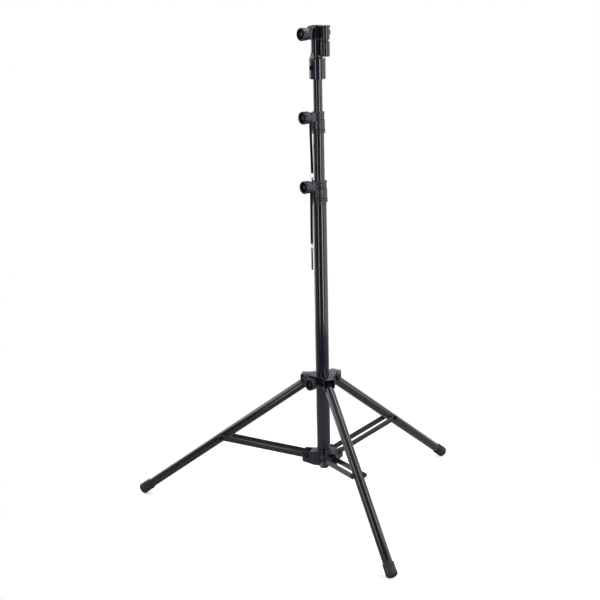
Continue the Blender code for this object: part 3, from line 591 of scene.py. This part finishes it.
barSet = {"share": 0.502, "halfHeight": 0.0085, "thickness": 0.003, "offset": 0.0177, "edge": 0.0006, "hole": 0.0043}
braceEnd = [legSet["pivot"][k] + (legSet["foot"][k] - legSet["pivot"][k]) * barSet["share"] for k in range(2)]
braceRun = braceEnd[0] - hubSet["pivot"][0]
braceRise = braceEnd[1] - hubSet["pivot"][1]
braceLength = hypot(braceRun, braceRise)


def barShape():
    r = barSet["halfHeight"]
    ends = [(0, 90, 270), (braceLength, -90, 90)]
    outline = [(x + r * cos(radians(a + (b - a) * k / 16)), r * sin(radians(a + (b - a) * k / 16)))
               for x, a, b in ends for k in range(17)]
    half = barSet["thickness"] / 2
    holes = [("DIFFERENCE", rod((x, -0.01, 0), (x, 0.01, 0), barSet["hole"])) for x in (0, braceLength)]
    return carved(plate(outline, half, barSet["edge"]), *holes)


def legBolt():  # the head and half of the shank, along +Y from the leg's plane
    outside = barSet["offset"] + barSet["thickness"] / 2
    shank = rod((0, 0, legSet["outer"] + 0.0005), (0, 0, outside + 0.0012), fastenerSet["shank"])
    washer = sleeve(0.0080, 0.0030, outside + stand["gap"], outside + 0.0013, 0.0002, 64)
    cap = softened([(0, outside + 0.0058), (0.0050, outside + 0.0058), (0.0065, outside + 0.0040),
                    (0.0065, outside + 0.0010), (0, outside + 0.0010)], 0.0008)
    socket = rod((0, 0, outside + 0.0034), (0, 0, outside + 0.010), 0.0029, sides=6)
    return crossWise(carved(shank, ("UNION", washer), ("UNION", spun(cap, 48)), ("DIFFERENCE", socket)), 1)


def legNut():  # the nut with the thread's end standing out, along -Y
    outside = barSet["offset"] + barSet["thickness"] / 2
    shank = rod((0, 0, legSet["outer"] + 0.0005), (0, 0, outside + 0.0058), 0.0034, edge=0.0005)
    washer = sleeve(0.0080, 0.0030, outside + stand["gap"], outside + 0.0013, 0.0002, 64)
    return crossWise(carved(shank, ("UNION", washer), ("UNION", hexagon(outside + 0.0012, outside + 0.0050, 0.0065))), -1)


bar, boltHalf, nutHalf = barShape(), legBolt(), legNut()
for side, azimuth in stand["legAzimuths"].items():
    place = slanted(azimuth, *hubSet["pivot"], atan2(braceRise, braceRun))
    body = f"brace_{side}"
    for hand, sign in (("l", 1), ("r", -1)):
        piece(f"braceBar.{side}.{hand}", at(bar, place @ Matrix.Translation((0, sign * barSet["offset"], 0))),
              barPowderCoat, body, [f"brace_{side}_bar_{hand}"])
    outer = place @ Matrix.Translation((braceLength, 0, 0))
    piece(f"braceBolt.{side}", at(boltHalf, outer), oxideSteel, body, [f"brace_{side}_bolt"])
    piece(f"braceNut.{side}", at(nutHalf, outer), oxideSteel, body, [f"brace_{side}_nut"])
print("braces pressed")


# Head: cast socket, flip-over spigot, side thumbscrew and socket bolt

headSet = {"foot": 1.326, "waist": 1.384, "rim": 1.4755, "sleeve": 0.0242, "neck": 0.0190, "bore": 0.0144,
           "tube": 0.0138, "knobZ": 1.457, "spigotAzimuth": 294.4, "hingeX": 0.0177, "hingeZ": 1.4785,
           "hingeRadius": 0.0026, "sideAzimuth": 357.4, "sideZ": 1.460, "boltAzimuth": 218.2, "boltZ": 1.3595,
           "bossHalf": 0.0125, "bossScrews": (0.0178, 0.0262), "bossScrewZ": 1.4742, "lipTop": 1.4808,
           "lipInner": 0.0164}


def socketShape():
    s = headSet
    outer = softened([
        (0, s["lipTop"]), (s["neck"], s["lipTop"]), (s["neck"], s["rim"] - 0.0046),
        (s["neck"] - 0.0010, s["rim"] - 0.0050), (s["neck"] - 0.0010, s["waist"] + 0.0056),
        (s["neck"] - 0.0026, s["waist"] + 0.0050), (s["neck"] - 0.0026, s["waist"] + 0.0034),
        (s["sleeve"] - 0.0016, s["waist"] + 0.0030), (s["sleeve"], s["waist"] + 0.0014), (s["sleeve"], s["foot"]),
        (0, s["foot"])], 0.0005)
    knobTurn = Matrix.Rotation(radians(stand["knobAzimuth"]), 4, "Z")
    start, foot, top = s["bore"] + 0.0020, s["knobZ"] - 0.0160, s["rim"] + 0.0045
    boss = plate([(start, foot), (0.037, foot), (0.037, top - 0.0125), (0.0225, top), (start, top)],
                 s["bossHalf"], 0.0018, 4)
    sideTurn = Matrix.Rotation(radians(s["sideAzimuth"]), 4, "Z")
    hingeTurn = Matrix.Rotation(radians(s["spigotAzimuth"]), 4, "Z")
    brace = plate([(0.0120, s["waist"] - 0.004), (s["sleeve"] - 0.0008, s["waist"] - 0.004),
                   (s["sleeve"] - 0.0008, s["waist"] + 0.0020), (s["neck"] - 0.0008, s["waist"] + 0.0190),
                   (0.0120, s["waist"] + 0.0190)], 0.0080, 0.0008)
    steps = [("UNION", at(boss, knobTurn)), ("UNION", at(brace, knobTurn))]
    steps.append(("UNION", at(rod((s["bore"] + 0.002, 0, s["sideZ"]), (0.0252, 0, s["sideZ"]), 0.0078, 0.0070,
                                  edge=0.0006), sideTurn)))
    for sign in (1, -1):
        low, high = sorted((sign * 0.0060, sign * 0.0100))
        lug = block((s["hingeX"] - 0.0018, low, 1.468), (s["hingeX"] + 0.0018, high, s["hingeZ"]), 0.0004, 2)
        barrel = rod((s["hingeX"], sign * 0.0062, s["hingeZ"]), (s["hingeX"], sign * 0.0102, s["hingeZ"]),
                     s["hingeRadius"], sides=32)
        steps += [("UNION", at(lug, hingeTurn)), ("UNION", at(barrel, hingeTurn))]
    steps.append(("DIFFERENCE", rod((0, 0, s["rim"]), (0, 0, 1.50), s["lipInner"], sides=96)))
    notch = block((0.0080, -0.0115, s["rim"]), (0.0300, 0.0115, 1.50))
    steps.insert(2, ("DIFFERENCE", at(notch, hingeTurn)))
    steps.append(("DIFFERENCE", rod((0, 0, s["waist"] + 0.006), (0, 0, 1.50), s["bore"], sides=96)))
    steps.append(("DIFFERENCE", rod((0, 0, 1.30), (0, 0, s["waist"]), s["tube"], sides=96)))
    steps.append(("DIFFERENCE", at(rod((0.010, 0, s["knobZ"]), (0.045, 0, s["knobZ"]), 0.0043), knobTurn)))
    steps.append(("DIFFERENCE", at(rod((0.010, 0, s["sideZ"]), (0.030, 0, s["sideZ"]), 0.0033), sideTurn)))
    steps.append(("DIFFERENCE", at(rod((s["hingeX"], -0.014, s["hingeZ"]), (s["hingeX"], 0.014, s["hingeZ"]),
                                       0.0014, sides=24), hingeTurn)))
    return carved(spun(outer), *steps)


spigotSet = {"offset": 0.0354, "radius": 0.0135, "foot": 1.391, "flange": 0.0158, "flangeThickness": 0.005,
             "groove": 0.0034, "waistRise": 0.0046}


def spigotShape():
    s = spigotSet
    top = headSet["hingeZ"] + 0.0027
    under = top - s["flangeThickness"]
    waist = (under + s["foot"]) / 2 + s["waistRise"]
    r, dip = s["radius"], s["groove"]
    profile = softened([
        (0, top), (s["flange"], top), (s["flange"], under), (r, under), (r, waist + 0.0026),
        (r - dip, waist + 0.0020), (r - dip, waist - 0.0020), (r, waist - 0.0026), (r, s["foot"] + 0.0046),
        (r - 0.0014, s["foot"] + 0.0024), (r - 0.0014, s["foot"] + 0.0010), (0, s["foot"] + 0.0010)], 0.0004)
    x, z = headSet["hingeX"], headSet["hingeZ"]
    shift = Matrix.Translation((-s["offset"], 0, 0))
    knuckle = block((x + 0.0006, -0.0056, z - 0.0016), (s["offset"] - 0.004, 0.0056, z + 0.0024), 0.0003, 2)
    barrel = rod((x, -0.0054, z), (x, 0.0054, z), headSet["hingeRadius"], sides=32)
    bore = rod((x, -0.014, z), (x, 0.014, z), 0.0014, sides=24)
    return carved(spun(profile), ("UNION", at(knuckle, shift)), ("UNION", at(barrel, shift)),
                  ("DIFFERENCE", at(bore, shift)))


def thumbscrewShape():
    start, reach, radius, ribs = 0.0255, 0.0395, 0.0080, 28
    profile = softened([
        (0, reach - 0.0012), (radius * 0.5, reach - 0.0012), (radius * 0.6, reach), (radius - 0.0008, reach),
        (radius, reach - 0.0010), (radius, reach - 0.0020), (radius, start + 0.0042), (radius, start + 0.0032),
        (radius - 0.0025, start), (0.0030, start), (0.0030, headSet["bore"] + 0.0005),
        (0, headSet["bore"] + 0.0005)], 0.0004)
    body = spun(profile, ribs * 6)
    for vert in body.verts:
        r = hypot(vert.co.x, vert.co.y)
        if start + 0.0038 < vert.co.z < reach - 0.0014 and r > radius * 0.9:
            share = 1 - 0.0005 * (0.5 - 0.5 * cos(atan2(vert.co.y, vert.co.x) * ribs)) / r
            vert.co.x *= share
            vert.co.y *= share
    return body


def capScrewShape(base, height, radius, socket):  # a socket cap screw's head along Z
    profile = softened([(0, base + height), (radius, base + height), (radius, base), (0, base)], 0.0007)
    return carved(spun(profile, 64), ("DIFFERENCE", rod((0, 0, base + height * 0.45), (0, 0, base + height + 0.003),
                                                        socket, sides=6)))


piece("headSocket", at(socketShape(), columnAxis), castEnamel, "top_section", ["head_socket"])
hingeFrame = upright(headSet["spigotAzimuth"])
piece("flipSpigot", at(spigotShape(), hingeFrame @ Matrix.Translation((spigotSet["offset"], 0, 0))), castEnamel,
      "spigot", ["spigot"])
pinShape = rod((headSet["hingeX"], -0.0108, headSet["hingeZ"]), (headSet["hingeX"], 0.0108, headSet["hingeZ"]),
               0.0011, sides=24, edge=0.0002)
piece("hingePin", at(pinShape, hingeFrame), zincSteel, "top_section", ["hinge_pin"])
piece("sideThumbscrew", at(thumbscrewShape(), outward(headSet["sideAzimuth"], headSet["sideZ"])), oxideSteel,
      "side_knob", ["side_knob"])
for k, reach in enumerate(headSet["bossScrews"]):
    cap = crossWise(capScrewShape(headSet["bossHalf"] - 0.0008, 0.0016, 0.0026, 0.0013), 1)
    piece(f"bossScrew.{k + 1}", at(cap, upright(stand["knobAzimuth"]) @ Matrix.Translation(
        (reach, 0, headSet["bossScrewZ"]))), zincSteel, "top_section")
sleeveBolt = capScrewShape(headSet["sleeve"] + stand["gap"], 0.0062, 0.0080, 0.0042)
piece("sleeveBolt", at(sleeveBolt, outward(headSet["boltAzimuth"], headSet["boltZ"])), oxideSteel,
      "top_section", ["sleeve_bolt"])
print("head cast")


# Lanyards: woven tape down to a split ring that holds a safety pin

lanyardSet = {"width": 0.0078, "thickness": 0.0024, "facing": 250.0, "steps": 36, "ringRadius": 0.007,
              "wire": 0.001, "eye": 0.0034, "eyeWire": 0.0011, "pinRadius": 0.0026, "pinLength": 0.060}
lanyards = {
    "lower": {"start": (0.033, 204.4, knobHeight("lower") - 0.0148), "ring": (0.034, 204.4, 0.830), "body": "column"},
    "upper": {"start": (0.031, 204.4, knobHeight("upper") - 0.0148), "ring": (0.028, 121.0, 1.037),
              "body": "mid_section"},
}


def tapeRoute(level):
    l = lanyards[level]
    start = polar(*l["start"])
    end = polar(*l["ring"]) + Vector((0, 0, lanyardSet["ringRadius"] + lanyardSet["wire"] + stand["gap"]))
    route = []
    for k in range(lanyardSet["steps"] + 1):
        t = k / lanyardSet["steps"]
        ease = t * t * (3 - 2 * t)
        route.append(Vector((start.x + (end.x - start.x) * ease, start.y + (end.y - start.y) * ease,
                             start.z + (end.z - start.z) * t)))
    return route


def tapeShape(route, width, thickness, facing):  # an oval section drawn along the route
    bm = bmesh.new()
    ring = bmesh.ops.create_circle(bm, radius=0.5, segments=16)["verts"]
    flat = Matrix.Translation(route[0]) @ Matrix.Rotation(radians(facing), 4, "Z")
    bmesh.ops.transform(bm, matrix=flat @ Matrix.Diagonal((thickness, width, 1, 1)), verts=ring)
    edges = bm.edges[:]
    bmesh.ops.edgeloop_fill(bm, edges=edges)
    for here, there in zip(route, route[1:]):
        swept = bmesh.ops.extrude_edge_only(bm, edges=edges)["geom"]
        bmesh.ops.translate(bm, vec=there - here, verts=[v for v in swept if isinstance(v, bmesh.types.BMVert)])
        edges = [e for e in swept if isinstance(e, bmesh.types.BMEdge)]
    bmesh.ops.edgeloop_fill(bm, edges=edges)
    bmesh.ops.recalc_face_normals(bm, faces=bm.faces)
    return bm


def splitRing(radius, wire):  # two turns of wire about Z
    bm = bmesh.new()
    turns = 64
    circle = bmesh.ops.create_circle(bm, radius=wire * 0.5, segments=10)["verts"]
    bmesh.ops.rotate(bm, matrix=Matrix.Rotation(pi / 2, 3, "X"), verts=circle)
    bmesh.ops.translate(bm, vec=(radius, 0, -wire * 0.6), verts=circle)
    first = bm.edges[:]
    bmesh.ops.edgeloop_fill(bm, edges=first)
    last = bmesh.ops.spin(bm, geom=first, cent=(0, 0, 0), axis=(0, 0, 1), dvec=(0, 0, wire * 1.25 / turns),
                          angle=4 * pi * 0.985, steps=turns)["geom_last"]
    bmesh.ops.edgeloop_fill(bm, edges=[e for e in last if isinstance(e, bmesh.types.BMEdge)])
    bmesh.ops.recalc_face_normals(bm, faces=bm.faces)
    return bm


def torusShape(radius, wire):
    circle = [(radius + wire * cos(2 * pi * k / 16), wire * sin(2 * pi * k / 16)) for k in range(16)]
    return spun(circle, 40, closed=True)


def lanyardPieces(level):
    l = lanyards[level]
    s = lanyardSet
    route = tapeRoute(level)
    strap = piece(f"{level}Lanyard", tapeShape(route, s["width"], s["thickness"], s["facing"]),
                  tape, l["body"], [f"{level}_lanyard"])
    centre = polar(*l["ring"])
    turn = atan2(centre.y - stand["columnY"], centre.x)
    across = Matrix.Translation(centre) @ Matrix.Rotation(turn + pi / 6, 4, "Z") @ Matrix.Rotation(pi / 2, 4, "X")
    ring = piece(f"{level}Ring", at(splitRing(s["ringRadius"], s["wire"]), across), zincSteel, l["body"],
                 [f"{level}_ring"])
    eyeCentre = centre - Vector((0, 0, s["ringRadius"] - s["wire"] + s["eye"] - s["eyeWire"] - stand["gap"]))
    facing = Matrix.Translation(eyeCentre) @ Matrix.Rotation(turn + pi / 6 + pi / 2, 4, "Z")
    top = -s["eye"]
    end = top - s["pinLength"]
    r = s["pinRadius"]
    shank = spun(softened([
        (0, top + 0.0006), (r * 0.9, top + 0.0006), (r, top - 0.0010), (r, end + 0.0085), (r * 0.78, end + 0.0078),
        (r * 0.78, end + 0.0060), (r * 1.0, end + 0.0052), (r * 1.0, end + 0.0012), (r * 0.6, end), (0, end)],
        0.0004), 40)
    eye = at(torusShape(s["eye"], s["eyeWire"]), Matrix.Rotation(pi / 2, 4, "X"))
    pin = piece(f"{level}Pin", at(carved(shank, ("UNION", eye)), facing), oxideSteel, l["body"],
                [f"{level}_pin"])
    crimp = block((-0.0024, -0.0036, 0), (0.0024, 0.0036, 0.0085), 0.0009, 3)
    ferrule = piece(f"{level}Crimp", at(crimp, Matrix.Translation(route[-1] + Vector((0, 0, 0.0012)))
                                        @ Matrix.Rotation(radians(s["facing"]), 4, "Z")),
                    mouldedNylon, l["body"])


for level in lanyards:
    lanyardPieces(level)


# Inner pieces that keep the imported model's own solid

innerFinish = {"mid_bush": liningNylon, "top_bush": liningNylon}
innerFinish.update({f"{name}_knob_screw": zincSteel for name in knobs})
innerFinish.update({f"leg_{side}_plug": liningNylon for side in stand["legAzimuths"]})
for name, finish in innerFinish.items():
    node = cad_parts[name]
    node.data.materials.clear()
    node.data.materials.append(finish)
print("inner pieces finished")


# Camera, solved from the photograph: where it stands and how it is turned, about the column's axis

cameraSet = {"distance": 4.31708, "height": 1.68366, "azimuth": -17.6, "tilt": 0.2326, "roll": -0.0206,
             "yaw": 0.0150, "lens": 87.69, "sensor": 36.0}


def placeCamera():
    c = cameraSet
    data = bpy.data.cameras.new("camera")
    data.lens = c["lens"]
    data.sensor_width = c["sensor"]
    data.clip_end = 60
    camera = bpy.data.objects.new("camera", data)
    bpy.context.scene.collection.objects.link(camera)
    right = Vector((cos(c["yaw"]), sin(c["yaw"]), 0))
    ahead = Vector((-cos(c["tilt"]) * sin(c["yaw"]), cos(c["tilt"]) * cos(c["yaw"]), -sin(c["tilt"])))
    above = right.cross(ahead)
    across = right * cos(c["roll"]) + above * sin(c["roll"])
    upward = above * cos(c["roll"]) - right * sin(c["roll"])
    turn = Matrix((across, upward, -ahead)).transposed().to_4x4()
    swing = columnAxis @ Matrix.Rotation(radians(c["azimuth"]), 4, "Z")
    camera.matrix_world = swing @ Matrix.Translation((0, -c["distance"], c["height"])) @ turn
    bpy.context.scene.camera = camera
    return camera


camera = placeCamera()


# Studio: pale floor, white surround with painted reflection bands that only gloss sees, two strip boxes in front, a
# panel each side and two boxes above them

def softbox(name, azimuth, distance, height, width, tall, brightness):  # azimuth as seen from the column
    data = bpy.data.lights.new(name, "AREA")
    data.shape = "RECTANGLE"
    data.size = width
    data.size_y = tall
    data.energy = brightness * pi * width * tall
    lamp = bpy.data.objects.new(name, data)
    bpy.context.scene.collection.objects.link(lamp)
    lamp.visible_camera = False
    where = polar(distance, azimuth, height)
    lamp.matrix_world = Matrix.LocRotScale(where, (polar(0, 0, 0.75) - where).to_track_quat("-Z", "Y"), None)
    return lamp


studio = {"leftStrip": ("leftStrip", 225, 3.0, 1.1, 0.46, 2.6, 5.5),
          "rightStrip": ("rightStrip", 288.5, 3.0, 1.1, 0.62, 2.6, 8.0),
          "rightPanel": ("rightPanel", 340, 2.6, 1.1, 2.5, 2.6, 1.5),
          "leftPanel": ("leftPanel", 127, 3.0, 1.1, 1.2, 2.6, 2.5),
          "leftRoof": ("leftRoof", 167, 2.6, 2.3, 2.4, 1.0, 2.6),
          "rightRoof": ("rightRoof", 10, 1.48, 3.0, 2.6, 0.6, 6.0)}
# Painted reflection that only gloss sees beyond the lamps, as (degrees to the right of the camera's side,
# brightness): bright bands behind the stand and dark ones in front
paintedReflectionBands = {"front": 252.4, "bands": [
    (-180, 0.55), (-150, 0.6), (-130, 1.0), (-112, 0.45), (-62, 0.30), (-50, 0.08), (-20, 0.06), (14, 0.06),
    (26, 0.12), (58, 0.40), (118, 0.35), (132, 1.0), (150, 0.6), (180, 0.55)]}
for box in studio.values():
    softbox(*box)


def pathShare(tree, *rays):  # 1 for the named rays
    path = addNode(tree, "ShaderNodeLightPath")
    share = path.outputs[rays[0]]
    for ray in rays[1:]:
        either = addNode(tree, "ShaderNodeMath", {"operation": "MAXIMUM"})
        tree.links.new(share, either.inputs[0])
        tree.links.new(path.outputs[ray], either.inputs[1])
        share = either.outputs["Value"]
    return share


def paintedReflectionShade(tree, direction):  # the painted reflection's brightness in one direction, seen only by gloss
    turned = addNode(tree, "ShaderNodeMapping", {"Rotation": (0, 0, radians(-paintedReflectionBands["front"]))},
                     {"Vector": direction})
    parts = addNode(tree, "ShaderNodeSeparateXYZ", links={"Vector": turned.outputs["Vector"]})
    angle = addNode(tree, "ShaderNodeMath", {"operation": "ARCTAN2"},
                    {0: parts.outputs["Y"], 1: parts.outputs["X"]})
    share = addNode(tree, "ShaderNodeMapRange", {"From Min": -pi, "From Max": pi},
                    {"Value": angle.outputs["Value"]})
    ramp = addNode(tree, "ShaderNodeValToRGB", links={"Fac": share.outputs["Result"]})
    stops = ramp.color_ramp.elements
    for k, (degrees, bright) in enumerate(paintedReflectionBands["bands"]):
        place = (degrees + 180) / 360
        stop = stops[0] if k == 0 else stops[-1] if place == 1 else stops.new(place)
        stop.position = place
        stop.color = (bright, bright, bright, 1.0)
    return ramp.outputs["Color"]


def whiteWorld():
    world = bpy.data.worlds.new("studio")
    bpy.context.scene.world = world
    world.use_nodes = True
    tree = world.node_tree
    tree.nodes.clear()
    fill = addNode(tree, "ShaderNodeBackground", {"Color": hexColour("#ffffff"), "Strength": 0.42})
    seen = addNode(tree, "ShaderNodeBackground", {"Color": hexColour("#ffffff"), "Strength": 1.0})
    direction = addNode(tree, "ShaderNodeTexCoord").outputs["Generated"]
    # gloss sees the painted reflection bands here, not the white surround that camera and diffuse rays see
    wall = addNode(tree, "ShaderNodeBackground", {"Strength": 1.0}, {"Color": paintedReflectionShade(tree, direction)})
    plain = addNode(tree, "ShaderNodeMixShader", links={
        "Fac": pathShare(tree, "Is Camera Ray", "Is Transmission Ray"), 1: fill.outputs[0], 2: seen.outputs[0]})
    mixed = addNode(tree, "ShaderNodeMixShader", links={
        "Fac": pathShare(tree, "Is Glossy Ray"), 1: plain.outputs[0], 2: wall.outputs[0]})
    addNode(tree, "ShaderNodeOutputWorld", links={"Surface": mixed.outputs[0]})


sweep = {"near": 0.72, "far": 1.06, "edge": 1.10}  # its shading fades to plain white from near to far


def whiteFloor():
    bm = bmesh.new()
    bmesh.ops.create_circle(bm, cap_ends=True, segments=96, radius=sweep["edge"])
    floor = asObject(bm, "floor")
    made = bpy.data.materials.new("paperRoll")
    made.use_nodes = True
    tree = made.node_tree
    tree.nodes.clear()
    paper = addNode(tree, "ShaderNodeBsdfDiffuse", {"Color": hexColour("#f4f4f4")})
    glow = addNode(tree, "ShaderNodeEmission", {"Color": hexColour("#ffffff"), "Strength": 0.42})
    lit = addNode(tree, "ShaderNodeAddShader")
    tree.links.new(paper.outputs[0], lit.inputs[0])
    tree.links.new(glow.outputs[0], lit.inputs[1])
    white = addNode(tree, "ShaderNodeEmission", {"Color": hexColour("#ffffff"), "Strength": 1.0})
    place = addNode(tree, "ShaderNodeTexCoord").outputs["Object"]
    away = addNode(tree, "ShaderNodeVectorMath", {"operation": "LENGTH"}, {0: place})
    far = addNode(tree, "ShaderNodeMapRange",
                  {"interpolation_type": "SMOOTHSTEP", "From Min": sweep["near"], "From Max": sweep["far"]},
                  {"Value": away.outputs["Value"]})
    swept = addNode(tree, "ShaderNodeMixShader", links={
        "Fac": far.outputs["Result"], 1: lit.outputs[0], 2: white.outputs[0]})
    # gloss sees a darker copy of the paper: a painted darker reflection of the floor
    shaded = addNode(tree, "ShaderNodeBsdfDiffuse", {"Color": hexColour("#b4b4b4")})
    gloss = addNode(tree, "ShaderNodeMixShader", links={
        "Fac": pathShare(tree, "Is Glossy Ray"), 1: paper.outputs[0], 2: shaded.outputs[0]})
    mixed = addNode(tree, "ShaderNodeMixShader", links={
        "Fac": pathShare(tree, "Is Camera Ray"), 1: gloss.outputs[0], 2: swept.outputs[0]})
    addNode(tree, "ShaderNodeOutputMaterial", links={"Surface": mixed.outputs[0]})
    floor.data.materials.append(made)


whiteWorld()
whiteFloor()
bpy.context.scene.view_settings.view_transform = "Standard"
print("studio lit")
